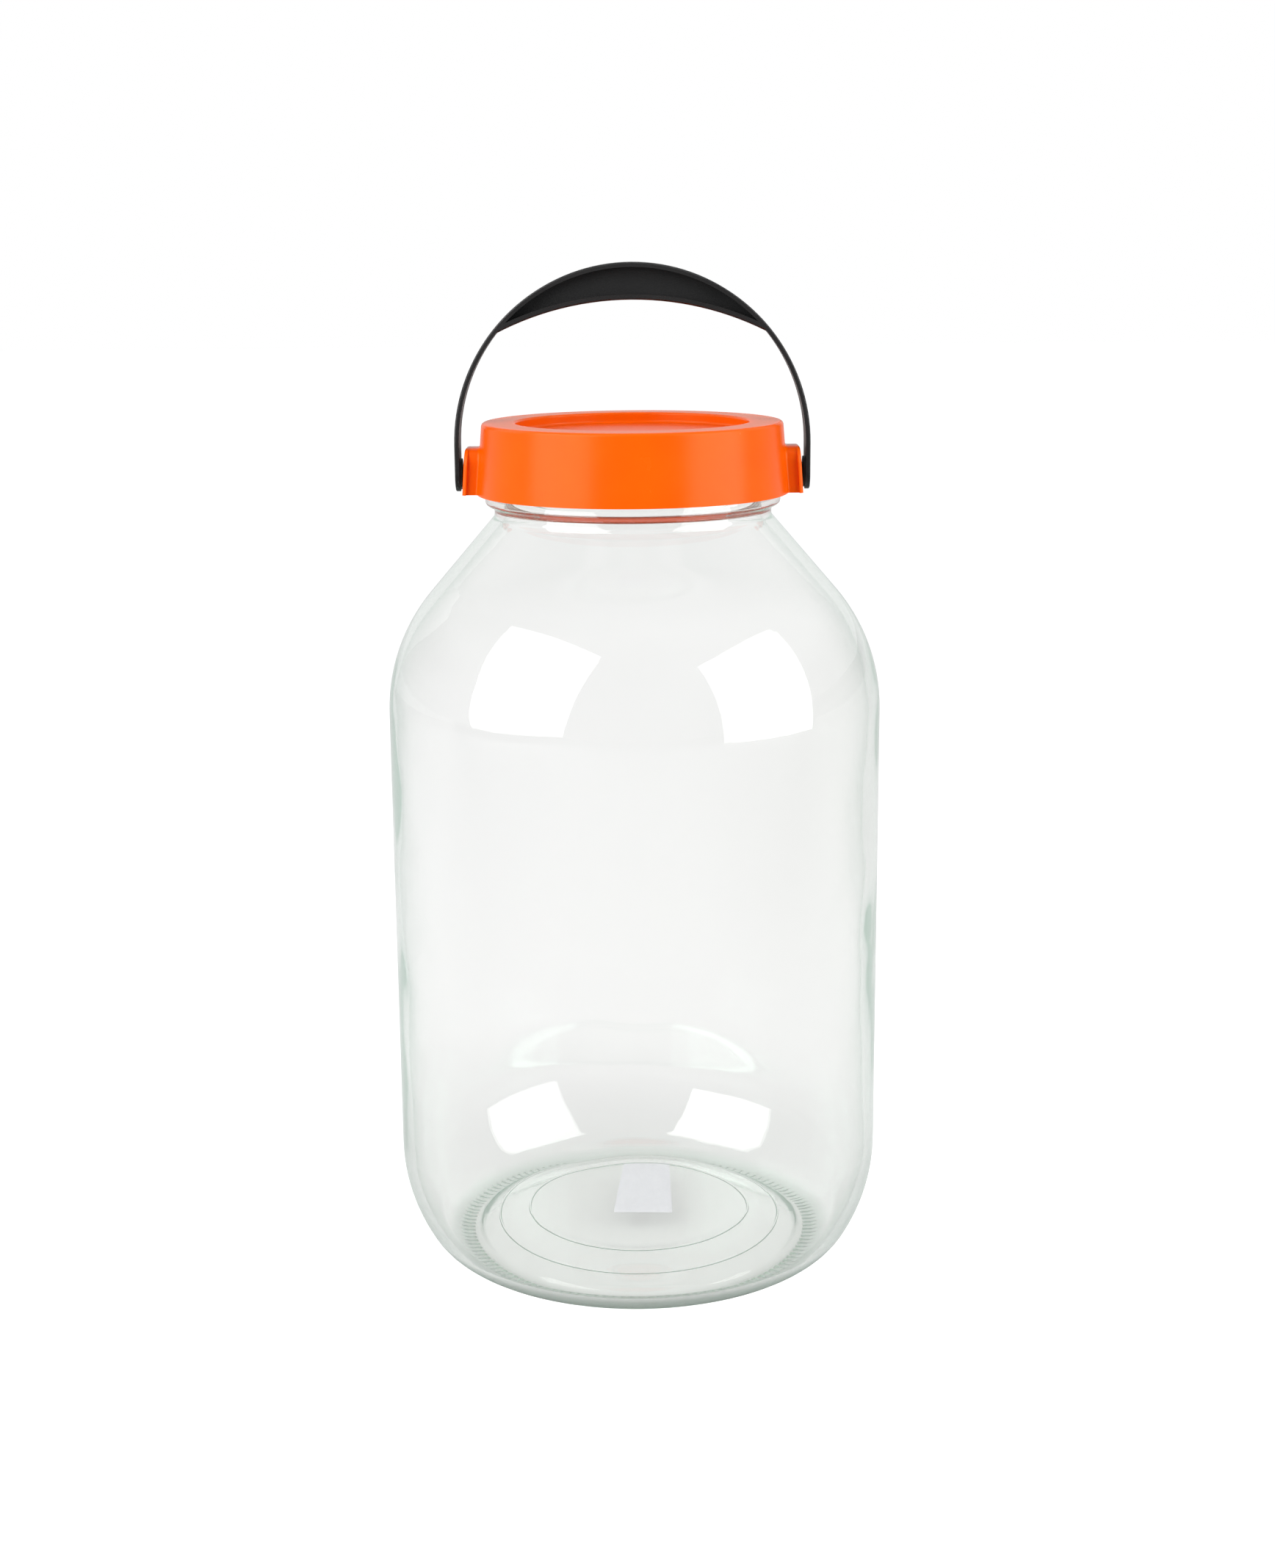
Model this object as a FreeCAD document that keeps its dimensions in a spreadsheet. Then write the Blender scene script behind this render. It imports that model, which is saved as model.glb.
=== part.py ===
import FreeCAD, Part
import math
import os
import Sketcher

# Clear glass storage jar with a screw lid and a bail handle on the lid.
# Millimetres. The jar stands on the XY plane, its axis is Z, and the handle's pivot line runs along X.

doc = FreeCAD.newDocument("StorageJar")

# Driving sizes. Everything that fits something else is worked out from these further down.
SIZES = [
    # glass jar, from the base up
    ("jar_radius", 86.0),
    ("jar_wall", 3.5),
    ("heel_reach", 25.2),            # how far the heel draws in from the wall to the bearing ring
    ("heel_lower_radius", 19.5),
    ("heel_upper_radius", 60.6),
    ("bearing_ring_width", 7.0),
    ("push_up_run", 13.0),           # width of the slope between the bearing ring and the base panel
    ("push_up_height", 7.0),
    ("base_thickness", 5.0),
    ("bearing_thickness", 7.5),
    ("inner_heel_radius", 16.0),
    ("straight_top", 199.0),
    ("shoulder_radius", 63.0),
    ("shoulder_slope", 40.7),        # degrees from the jar's axis
    ("neck_radius", 47.8),
    ("neck_fillet", 4.0),
    ("neck_length", 1.2),
    ("bead_reach", 3.1),             # how far the bead stands out from the neck
    ("bead_lower_rise", 3.4),
    ("bead_land", 3.2),
    ("bead_upper_rise", 2.0),
    ("finish_step", 0.6),            # the threaded top is this much narrower than the neck
    ("finish_length", 17.3),
    ("rim_rounding", 1.1),
    # screw lid
    ("thread_room", 2.7),            # between the jar's threaded top and the skirt's bore
    ("bead_gap", 1.0),               # between the bead and the skirt's bottom
    ("plug_gap", 2.4),               # between the mouth and the sunken middle of the lid
    ("lid_length", 24.15),
    ("lid_wall", 1.8),
    ("lid_edge_rounding", 1.2),
    ("recess_depth", 3.6),
    ("recess_rounding", 0.8),
    # lugs on the lid
    ("lug_reach_top", 5.6),          # lug face outside the lid's top radius, at the lug's top
    ("lug_reach_bottom", 4.6),       # lug face outside the skirt's bottom radius
    ("lug_rise", 15.7),
    ("lug_half_width", 9.1),
    ("lug_corner", 6.0),
    ("lug_plate", 1.3),
    ("lug_step", 1.2),               # the outer plate stands out this far at the sides of the lug's body
    ("lug_wall", 1.5),
    ("lug_skin", 0.3),               # left on the skirt at the back of the lug's hollow
    ("lug_root_fillet", 1.0),        # where the lug's body meets the skirt
    ("lug_edge_rounding", 1.1),
    ("pivot_rise", 6.6),             # pivot line above the lid's bottom edge
    ("pivot_radius", 3.1),
    ("pivot_clearance", 0.05),
    # handle
    ("arch_rise", 10.0),             # centre of the arch above the pivot line
    ("strap_thickness", 1.6),
    ("strap_width", 12.0),
    ("boss_height", 0.73),
    ("boss_margin", 0.7),            # from the boss's edge to the strap's edge
    ("boss_gap", 0.3),
    ("stud_head_lip", 0.8),          # how far the snap head stands out from the stud
    ("stud_head_length", 1.3),
    ("stud_head_gap", 0.35),
    ("stud_head_chamfer", 0.6),
    ("stud_slot", 1.0),
    ("grip_depth", 12.4),
    ("grip_lower_radius", 102.0),
    ("grip_lip", 1.8),
    ("grip_web", 3.0),
    ("handle_rounding", 0.5),
    # sealing ring and label
    ("seal_thickness", 1.35),
    ("seal_clearance", 0.3),
    ("label_width", 21.5),
    ("label_length", 45.0),
    ("label_thickness", 0.15),
    ("label_corner", 2.0),
    ("label_aside", 1.6),            # to the right of the jar's axis
    ("label_margin", 1.3),           # from its far corners to the edge of the base panel
    # how far a cut runs past the face that it opens
    ("cut_over", 1.0),
]

# Sizes worked out from the driving ones, so that the pieces stay in fit when one is changed.
WORKED_OUT = [
    ("bearing_outer", "jar_radius - heel_reach"),
    ("bearing_inner", "bearing_outer - bearing_ring_width"),
    ("panel_radius", "bearing_inner - push_up_run"),
    ("label_far_end", "sqrt((panel_radius - label_margin)^2 - (label_aside + label_width / 2)^2)"),
    ("heel_centre", "jar_radius - heel_upper_radius"),
    ("heel_top", "heel_lower_radius + sqrt((heel_upper_radius - heel_lower_radius)^2"
                 " - (heel_upper_radius - heel_reach)^2)"),
    ("heel_share", "heel_lower_radius / (heel_upper_radius - heel_lower_radius)"),
    ("heel_joint_x", "bearing_outer + heel_share * (heel_upper_radius - heel_reach)"),
    ("heel_joint_z", "heel_lower_radius - heel_share * (heel_top - heel_lower_radius)"),
    ("inner_upper_radius", "heel_upper_radius - jar_wall"),
    ("inner_heel_z", "bearing_thickness + inner_heel_radius"),
    ("inner_heel_x", "heel_centre + sqrt((inner_upper_radius - inner_heel_radius)^2"
                     " - (heel_top - inner_heel_z)^2)"),
    ("inner_share", "inner_heel_radius / (inner_upper_radius - inner_heel_radius)"),
    ("inner_joint_x", "inner_heel_x + inner_share * (inner_heel_x - heel_centre)"),
    ("inner_joint_z", "inner_heel_z - inner_share * (heel_top - inner_heel_z)"),
    ("shoulder_centre", "jar_radius - shoulder_radius"),
    ("shoulder_end_x", "shoulder_centre + shoulder_radius * cos(shoulder_slope)"),
    ("shoulder_end_z", "straight_top + shoulder_radius * sin(shoulder_slope)"),
    ("shoulder_inner_x", "shoulder_centre + (shoulder_radius - jar_wall) * cos(shoulder_slope)"),
    ("shoulder_inner_z", "straight_top + (shoulder_radius - jar_wall) * sin(shoulder_slope)"),
    ("neck_centre", "neck_radius + neck_fillet"),
    ("neck_tangent_x", "neck_centre - neck_fillet * cos(shoulder_slope)"),
    ("neck_tangent_z", "shoulder_end_z + (shoulder_end_x - neck_tangent_x) / tan(shoulder_slope)"),
    ("neck_start", "neck_tangent_z + neck_fillet * sin(shoulder_slope)"),
    ("neck_inner_x", "neck_centre - (neck_fillet + jar_wall) * cos(shoulder_slope)"),
    ("neck_inner_z", "neck_start - (neck_fillet + jar_wall) * sin(shoulder_slope)"),
    ("mouth_radius", "neck_radius - jar_wall"),
    ("bead_radius", "neck_radius + bead_reach"),
    ("finish_radius", "neck_radius - finish_step"),
    ("bead_start", "neck_start + neck_length"),
    ("bead_low", "bead_start + bead_lower_rise"),
    ("bead_high", "bead_low + bead_land"),
    ("finish_start", "bead_high + bead_upper_rise"),
    ("rim_height", "finish_start + finish_length"),
    ("lid_bottom", "rim_height + seal_thickness + lid_wall - lid_length"),
    # from here to the lug's hollow, heights are above the lid's bottom edge
    ("bore_top_radius", "finish_radius + thread_room"),
    ("bore_bottom_radius", "bead_radius + bead_gap"),
    ("lid_top_radius", "bore_top_radius + lid_wall"),
    ("lid_bottom_radius", "bore_bottom_radius + lid_wall"),
    ("plug_radius", "mouth_radius - plug_gap"),
    ("recess_radius", "plug_radius - lid_wall"),
    ("recess_floor", "lid_length - recess_depth"),
    ("lug_face_top", "lid_top_radius + lug_reach_top"),
    ("lug_face_bottom", "lid_bottom_radius + lug_reach_bottom"),
    ("lug_lean", "(lug_face_bottom - lug_face_top) / lug_rise"),
    ("lug_face_pivot", "lug_face_bottom - lug_lean * pivot_rise"),
    ("skirt_lean", "(lid_bottom_radius - lid_top_radius) / lid_length"),
    ("hollow_top", "lug_rise - lug_step - lug_wall"),
    ("hollow_half_width", "lug_half_width - lug_step - lug_wall"),
    # from here on, heights are above the pivot line
    ("boss_radius", "strap_width / 2 - boss_margin"),
    ("boss_face", "lug_face_pivot + lug_lean * boss_radius + boss_gap"),
    ("strap_inner", "boss_face + boss_height"),
    ("arch_radius", "strap_inner + strap_thickness"),
    ("strap_middle", "arch_radius - strap_thickness / 2"),
    ("stud_head_radius", "pivot_radius + stud_head_lip"),
    ("head_face", "lug_face_pivot - lug_lean * stud_head_radius - lug_plate - stud_head_gap"),
    ("head_end", "head_face - stud_head_length"),
    ("grip_centre", "arch_rise + arch_radius - grip_depth - grip_lower_radius"),
    ("grip_offset", "arch_rise - grip_centre"),
    ("lip_upper_radius", "grip_lower_radius + grip_lip"),
    ("grip_end_z", "grip_centre + (grip_offset^2 + grip_lower_radius^2 - strap_middle^2)"
                   " / (2 * grip_offset)"),
    ("grip_end_x", "sqrt(grip_lower_radius^2 - (grip_end_z - grip_centre)^2)"),
    ("lip_end_z", "grip_centre + (grip_offset^2 + lip_upper_radius^2 - strap_middle^2)"
                  " / (2 * grip_offset)"),
    ("lip_end_x", "sqrt(lip_upper_radius^2 - (lip_end_z - grip_centre)^2)"),
]

sheet = doc.addObject("Spreadsheet::Sheet", "Sizes")
for row, (alias, value) in enumerate(SIZES + WORKED_OUT, start=1):
    cell = "B" + str(row)
    sheet.set("A" + str(row), alias)
    sheet.set(cell, str(value) if isinstance(value, float) else "=" + value)
    sheet.setAlias(cell, alias)
doc.recompute()

ALIASES = [alias for alias, value in SIZES + WORKED_OUT]

# How near a point lies to a surface that it is on, when edges are picked for rounding.
NEAR = 0.01


def bound(text):
    # write "jar_radius - 1" as "Sizes.jar_radius - 1", so that any object can use the sheet's names
    words = []
    word = ""
    for letter in text + " ":
        if letter.isalnum() or letter == "_":
            word += letter
        else:
            words.append("Sizes." + word if word in ALIASES else word)
            words.append(letter)
            word = ""
    return "".join(words).strip()


def value_of(text):
    return float(sheet.evalExpression(bound(text)))


def new_body(name, height="0"):
    # height is an expression: where the piece's own frame stands above the jar's
    body = doc.addObject("PartDesign::Body", name)
    body.Label = name
    body.setExpression("Placement.Base.z", bound(height))
    return body


def origin_feature(body, role):
    return [feature for feature in body.Origin.OriginFeatures if feature.Role == role][0]


def new_sketch(body, name, plane, offset=None):
    # offset is an expression: how far the sketch plane stands off the origin plane, along its normal
    sketch = body.newObject("Sketcher::SketchObject", name)
    sketch.AttachmentSupport = (origin_feature(body, plane), "")
    sketch.MapMode = "FlatFace"
    if offset:
        sketch.setExpression("AttachmentOffset.Base.z", bound(offset))
    return sketch


def bind(sketch, constraint, text):
    index = sketch.addConstraint(constraint)
    sketch.setExpression("Constraints[%d]" % index, bound(text))


def place_point(sketch, edge, end, x, y):
    # tie one point of the sketch to the places that the expressions x and y give
    if x == "0":
        sketch.addConstraint(Sketcher.Constraint("PointOnObject", edge, end, -2))
    else:
        bind(sketch, Sketcher.Constraint("DistanceX", -1, 1, edge, end, value_of(x)), x)
    if y == "0":
        sketch.addConstraint(Sketcher.Constraint("PointOnObject", edge, end, -1))
    else:
        bind(sketch, Sketcher.Constraint("DistanceY", -1, 1, edge, end, value_of(y)), y)


def arc_between(start, end, radius, turn):
    # the short arc from start to end, turning left (counter-clockwise) or right
    chord = end - start
    half = chord.Length / 2
    side = FreeCAD.Vector(-chord.y, chord.x, 0) / chord.Length
    reach = math.sqrt(max(radius * radius - half * half, 0.0))
    centre = (start + end) / 2 + side * (reach if turn == "left" else -reach)
    first, last = (start, end) if turn == "left" else (end, start)
    angle_a = math.atan2(first.y - centre.y, first.x - centre.x)
    angle_b = math.atan2(last.y - centre.y, last.x - centre.x)
    if angle_b < angle_a:
        angle_b += 2 * math.pi
    circle = Part.Circle(centre, FreeCAD.Vector(0, 0, 1), radius)
    return Part.ArcOfCircle(circle, angle_a, angle_b)


def outline(sketch, corners):
    # A closed outline. Each corner is (x, y), or (x, y, radius, turn) where an arc leads to the next one.
    points = [FreeCAD.Vector(value_of(c[0]), value_of(c[1]), 0) for c in corners]
    count = len(corners)
    ends = []
    for i, corner in enumerate(corners):
        start, end = points[i], points[(i + 1) % count]
        if len(corner) == 2:
            edge = sketch.addGeometry(Part.LineSegment(start, end))
            ends.append((edge, 1, 2))
        else:
            edge = sketch.addGeometry(arc_between(start, end, value_of(corner[2]), corner[3]))
            ends.append((edge, 1, 2) if corner[3] == "left" else (edge, 2, 1))
    for i, corner in enumerate(corners):
        edge, first, last = ends[i]
        following, following_first, _ = ends[(i + 1) % count]
        sketch.addConstraint(Sketcher.Constraint("Coincident", edge, last, following, following_first))
        place_point(sketch, edge, first, corner[0], corner[1])
        if len(corner) == 4:
            bind(sketch, Sketcher.Constraint("Radius", edge, value_of(corner[2])), corner[2])


def circle(sketch, x, y, radius):
    centre = FreeCAD.Vector(value_of(x), value_of(y), 0)
    edge = sketch.addGeometry(Part.Circle(centre, FreeCAD.Vector(0, 0, 1), value_of(radius)))
    place_point(sketch, edge, 3, x, y)
    bind(sketch, Sketcher.Constraint("Radius", edge, value_of(radius)), radius)


def turned(body, kind, name, sketch, axis="V_Axis"):
    # kind is Revolution, which adds, or Groove, which cuts
    feature = body.newObject("PartDesign::" + kind, name)
    feature.Profile = sketch
    feature.ReferenceAxis = (sketch, [axis])
    feature.Angle = 360.0
    return feature


def extruded(body, kind, name, sketch, length, symmetric=False):
    # kind is Pad, which adds, or Pocket, which cuts
    feature = body.newObject("PartDesign::" + kind, name)
    feature.Profile = sketch
    feature.setExpression("Length", bound(length))
    feature.SideType = "Symmetric" if symmetric else "One side"
    return feature


def mirrored(body, name):
    # the whole piece so far, mirrored about the plane x = 0 and joined to itself
    doc.recompute()
    feature = body.newObject("PartDesign::Mirrored", name)
    feature.TransformMode = "Whole shape"
    feature.MirrorPlane = (origin_feature(body, "YZ_Plane"), [""])
    body.Tip = feature
    return feature


def fillet(body, name, base, radius, wanted):
    # wanted is a test that picks the edges to round
    doc.recompute()
    edges = ["Edge%d" % (i + 1) for i, edge in enumerate(base.Shape.Edges) if wanted(edge)]
    feature = body.newObject("PartDesign::Fillet", name)
    feature.Base = (base, edges)
    feature.setExpression("Radius", bound(radius))
    return feature


def is_ring(edge, radius, height):
    # a full circle about the jar's axis
    curve = edge.Curve
    if not isinstance(curve, Part.Circle):
        return False
    return abs(curve.Radius - radius) < NEAR and abs(curve.Center.z - height) < NEAR


def is_level(edge, half_width, height):
    # a straight edge along X, at that height and that far from the plane y = 0
    ends = [edge.Vertexes[0].Point, edge.Vertexes[-1].Point]
    if not isinstance(edge.Curve, Part.Line) or abs(ends[0].y - ends[1].y) > NEAR:
        return False
    return all(abs(abs(end.y) - half_width) < NEAR and abs(end.z - height) < NEAR for end in ends)


def points_along(edge):
    first, last = edge.ParameterRange
    return [edge.valueAt(first + share * (last - first)) for share in (0.05, 0.5, 0.95)]


def is_lug_root(edge):
    # an edge where the lug's body meets the skirt, above the skirt's bottom
    for point in points_along(edge):
        skirt = value_of("lid_bottom_radius") - value_of("skirt_lean") * point.z
        if abs(math.hypot(point.x, point.y) - skirt) > 2 * NEAR or point.z < NEAR:
            return False
        if abs(point.y) > value_of("lug_half_width") or point.z > value_of("lug_rise") + NEAR:
            return False
    return True


def is_lug_face_edge(edge):
    # an edge round the lug's outer face, without its bottom
    for point in points_along(edge):
        face = value_of("lug_face_bottom") - value_of("lug_lean") * point.z
        if abs(point.x - face) > NEAR or point.z < NEAR:
            return False
    return True


def is_strap_edge(edge):
    # an edge of the strap's outer face: on the arch's outer circle, on a leg or round a tip
    half_width = value_of("strap_width / 2")
    outer = value_of("arch_radius")
    rise = value_of("arch_rise")
    for point in points_along(edge):
        on_arch = abs(math.hypot(point.x, point.z - rise) - outer) < NEAR and point.z >= rise - NEAR
        on_leg = abs(abs(point.x) - outer) < NEAR and point.z <= rise + NEAR
        on_side = abs(abs(point.y) - half_width) < NEAR
        on_tip = abs(math.hypot(point.y, point.z) - half_width) < NEAR and point.z < NEAR
        if not ((on_arch and on_side) or (on_leg and (on_side or on_tip))):
            return False
    return True


def is_lip_edge(edge):
    # a lower edge of the grip's lip
    centre, radius = value_of("grip_centre"), value_of("grip_lower_radius")
    for point in points_along(edge):
        if abs(math.hypot(point.x, point.z - centre) - radius) > NEAR:
            return False
        if abs(abs(point.y) - value_of("strap_width / 2")) > NEAR or point.z < value_of("arch_rise"):
            return False
    return True


def make_jar():
    body = new_body("glass_jar")
    wall = new_sketch(body, "JarSection", "XZ_Plane")
    outline(wall, [
        ("0", "push_up_height"),
        ("panel_radius", "push_up_height"),
        ("bearing_inner", "0"),
        ("bearing_outer", "0", "heel_lower_radius", "left"),
        ("heel_joint_x", "heel_joint_z", "heel_upper_radius", "left"),
        ("jar_radius", "heel_top"),
        ("jar_radius", "straight_top", "shoulder_radius", "left"),
        ("shoulder_end_x", "shoulder_end_z"),
        ("neck_tangent_x", "neck_tangent_z", "neck_fillet", "right"),
        ("neck_radius", "neck_start"),
        ("neck_radius", "bead_start"),
        ("bead_radius", "bead_low"),
        ("bead_radius", "bead_high"),
        ("finish_radius", "finish_start"),
        ("finish_radius", "rim_height"),
        ("mouth_radius", "rim_height"),
        ("mouth_radius", "neck_start", "neck_fillet + jar_wall", "left"),
        ("neck_inner_x", "neck_inner_z"),
        ("shoulder_inner_x", "shoulder_inner_z", "shoulder_radius - jar_wall", "right"),
        ("jar_radius - jar_wall", "straight_top"),
        ("jar_radius - jar_wall", "heel_top", "inner_upper_radius", "right"),
        ("inner_joint_x", "inner_joint_z", "inner_heel_radius", "right"),
        ("inner_heel_x", "bearing_thickness"),
        ("bearing_inner", "bearing_thickness"),
        ("panel_radius", "push_up_height + base_thickness"),
        ("0", "push_up_height + base_thickness"),
    ])
    shell = turned(body, "Revolution", "JarShell", wall)
    rim = value_of("rim_height")
    fillet(body, "RimRounding", shell, "rim_rounding", lambda edge:
           is_ring(edge, value_of("finish_radius"), rim) or is_ring(edge, value_of("mouth_radius"), rim))
    return body


def make_lid():
    # the lid's own frame has its bottom edge at zero height
    body = new_body("screw_lid", "lid_bottom")
    outside = new_sketch(body, "LidOutside", "XZ_Plane")
    outline(outside, [
        ("0", "0"),
        ("lid_bottom_radius", "0"),
        ("lid_top_radius", "lid_length"),
        ("recess_radius", "lid_length"),
        ("recess_radius", "recess_floor"),
        ("0", "recess_floor"),
    ])
    turned(body, "Revolution", "LidSolid", outside)

    # one lug: a body with a wider outer plate level with its top, hollow and open below
    core_outline = new_sketch(body, "LugBodyOutline", "XZ_Plane")
    outline(core_outline, [
        ("bore_bottom_radius", "0"),
        ("lug_face_bottom - lug_plate / 2", "0"),
        ("lug_face_top - lug_plate / 2", "lug_rise"),
        ("bore_top_radius", "lug_rise"),
    ])
    core = extruded(body, "Pad", "LugBody", core_outline, "2 * (lug_half_width - lug_step)", symmetric=True)
    core = fillet(body, "LugBodyCorners", core, "lug_corner - lug_step", lambda edge:
                  is_level(edge, value_of("lug_half_width - lug_step"), value_of("lug_rise")))
    fillet(body, "LugRoot", core, "lug_root_fillet", is_lug_root)

    plate_outline = new_sketch(body, "LugPlateOutline", "XZ_Plane")
    outline(plate_outline, [
        ("lug_face_bottom - lug_plate", "0"),
        ("lug_face_bottom", "0"),
        ("lug_face_top", "lug_rise"),
        ("lug_face_top - lug_plate", "lug_rise"),
    ])
    plate = extruded(body, "Pad", "LugPlate", plate_outline, "2 * lug_half_width", symmetric=True)
    plate = fillet(body, "LugPlateCorners", plate, "lug_corner", lambda edge:
                   is_level(edge, value_of("lug_half_width"), value_of("lug_rise")))
    fillet(body, "LugFaceEdge", plate, "lug_edge_rounding", is_lug_face_edge)

    hollow_outline = new_sketch(body, "LugHollowOutline", "XZ_Plane")
    outline(hollow_outline, [
        ("lid_bottom_radius + skirt_lean * cut_over + lug_skin", "-cut_over"),
        ("lug_face_bottom + lug_lean * cut_over - lug_plate", "-cut_over"),
        ("lug_face_bottom - lug_lean * hollow_top - lug_plate", "hollow_top"),
        ("lid_bottom_radius - skirt_lean * hollow_top + lug_skin", "hollow_top"),
    ])
    extruded(body, "Pocket", "LugHollow", hollow_outline, "2 * hollow_half_width", symmetric=True)

    hole_outline = new_sketch(body, "PivotHoleOutline", "YZ_Plane", "lug_face_bottom + cut_over")
    circle(hole_outline, "0", "pivot_rise", "pivot_radius + pivot_clearance")
    extruded(body, "Pocket", "PivotHole", hole_outline, "lug_face_bottom + cut_over - head_face")
    mirrored(body, "BothLugs")

    bore = new_sketch(body, "LidBore", "XZ_Plane")
    outline(bore, [
        ("0", "-cut_over"),
        ("bore_bottom_radius + skirt_lean * cut_over", "-cut_over"),
        ("bore_top_radius + skirt_lean * lid_wall", "lid_length - lid_wall"),
        ("plug_radius", "lid_length - lid_wall"),
        ("plug_radius", "recess_floor - lid_wall"),
        ("0", "recess_floor - lid_wall"),
    ])
    cut = turned(body, "Groove", "LidBoreCut", bore)
    top = value_of("lid_length")
    outer = fillet(body, "LidEdge", cut, "lid_edge_rounding", lambda edge:
                   is_ring(edge, value_of("lid_top_radius"), top))
    fillet(body, "RecessEdge", outer, "recess_rounding", lambda edge:
           is_ring(edge, value_of("recess_radius"), top)
           or is_ring(edge, value_of("recess_radius"), value_of("recess_floor")))
    return body


def make_handle():
    # the handle's own frame has the pivot line at zero height
    body = new_body("carry_handle", "lid_bottom + pivot_rise")
    arch = new_sketch(body, "StrapOutline", "XZ_Plane")
    outline(arch, [
        ("strap_inner", "0"),
        ("arch_radius", "0"),
        ("arch_radius", "arch_rise", "arch_radius", "left"),
        ("0", "arch_rise + arch_radius", "arch_radius", "left"),
        ("-arch_radius", "arch_rise"),
        ("-arch_radius", "0"),
        ("-strap_inner", "0"),
        ("-strap_inner", "arch_rise", "strap_inner", "right"),
        ("0", "arch_rise + strap_inner", "strap_inner", "right"),
        ("strap_inner", "arch_rise"),
    ])
    extruded(body, "Pad", "Strap", arch, "strap_width", symmetric=True)

    web = new_sketch(body, "GripWebOutline", "XZ_Plane")
    outline(web, [
        ("grip_end_x", "grip_end_z", "strap_middle", "left"),
        ("-grip_end_x", "grip_end_z", "grip_lower_radius", "right"),
    ])
    extruded(body, "Pad", "GripWeb", web, "grip_web", symmetric=True)

    lip = new_sketch(body, "GripLipOutline", "XZ_Plane")
    outline(lip, [
        ("grip_end_x", "grip_end_z"),
        ("lip_end_x", "lip_end_z", "lip_upper_radius", "left"),
        ("-lip_end_x", "lip_end_z"),
        ("-grip_end_x", "grip_end_z", "grip_lower_radius", "right"),
    ])
    extruded(body, "Pad", "GripLip", lip, "strap_width", symmetric=True)

    # one end: round tip of the strap, boss, pivot stud and its snap head, turned about the pivot line
    end = new_sketch(body, "StrapEndSection", "XZ_Plane")
    outline(end, [
        ("head_end", "0"),
        ("arch_radius", "0"),
        ("arch_radius", "strap_width / 2"),
        ("strap_inner", "strap_width / 2"),
        ("strap_inner", "boss_radius"),
        ("boss_face", "boss_radius"),
        ("boss_face", "pivot_radius"),
        ("head_face", "pivot_radius"),
        ("head_face", "stud_head_radius"),
        ("head_end + stud_head_chamfer", "stud_head_radius"),
        ("head_end", "stud_head_radius - stud_head_chamfer"),
    ])
    turned(body, "Revolution", "StrapEnd", end, "H_Axis")
    slot = new_sketch(body, "StudSlotOutline", "XZ_Plane")
    outline(slot, [
        ("head_end - cut_over", "-stud_head_radius - cut_over"),
        ("boss_face", "-stud_head_radius - cut_over"),
        ("boss_face", "stud_head_radius + cut_over"),
        ("head_end - cut_over", "stud_head_radius + cut_over"),
    ])
    extruded(body, "Pocket", "StudSlot", slot, "stud_slot", symmetric=True)
    both_ends = mirrored(body, "BothEnds")
    strap = fillet(body, "StrapRounding", both_ends, "handle_rounding", is_strap_edge)
    fillet(body, "LipRounding", strap, "handle_rounding", is_lip_edge)
    return body


def make_seal():
    body = new_body("sealing_ring", "rim_height")
    section = new_sketch(body, "SealSection", "XZ_Plane")
    outline(section, [
        ("plug_radius + seal_clearance", "0"),
        ("bore_top_radius - seal_clearance", "0"),
        ("bore_top_radius - seal_clearance", "seal_thickness"),
        ("plug_radius + seal_clearance", "seal_thickness"),
    ])
    turned(body, "Revolution", "SealRing", section)
    return body


def make_label():
    # a blank paper label, flat on the underside of the base panel
    body = new_body("base_label", "push_up_height - label_thickness")
    sheet_outline = new_sketch(body, "LabelOutline", "XY_Plane")
    outline(sheet_outline, [
        ("label_aside - label_width / 2", "label_far_end - label_length"),
        ("label_aside + label_width / 2", "label_far_end - label_length"),
        ("label_aside + label_width / 2", "label_far_end"),
        ("label_aside - label_width / 2", "label_far_end"),
    ])
    paper = extruded(body, "Pad", "LabelSheet", sheet_outline, "label_thickness")
    fillet(body, "LabelCorners", paper, "label_corner", lambda edge:
           abs(edge.Vertexes[0].Z - edge.Vertexes[-1].Z) > value_of("label_thickness") / 2)
    return body


pieces = [make_jar(), make_lid(), make_handle(), make_seal(), make_label()]
doc.recompute()

failed = [item.Label for item in doc.Objects if "Invalid" in item.State or "Error" in item.State]
for piece in pieces:
    if piece.Shape.isNull() or not piece.Shape.isValid() or len(piece.Shape.Solids) != 1:
        failed.append(piece.Label + " has no single valid solid")
if failed:
    raise RuntimeError("not built: " + ", ".join(failed))

os.makedirs("parts", exist_ok=True)
for piece in pieces:
    piece.Shape.exportStep("parts/" + piece.Label + ".step")
    box = piece.Shape.BoundBox
    print("%-13s %8.2f cm3  z %.2f to %.2f" % (piece.Label, piece.Shape.Volume / 1000, box.ZMin, box.ZMax))
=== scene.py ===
import math

import bpy
from mathutils import Matrix


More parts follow.
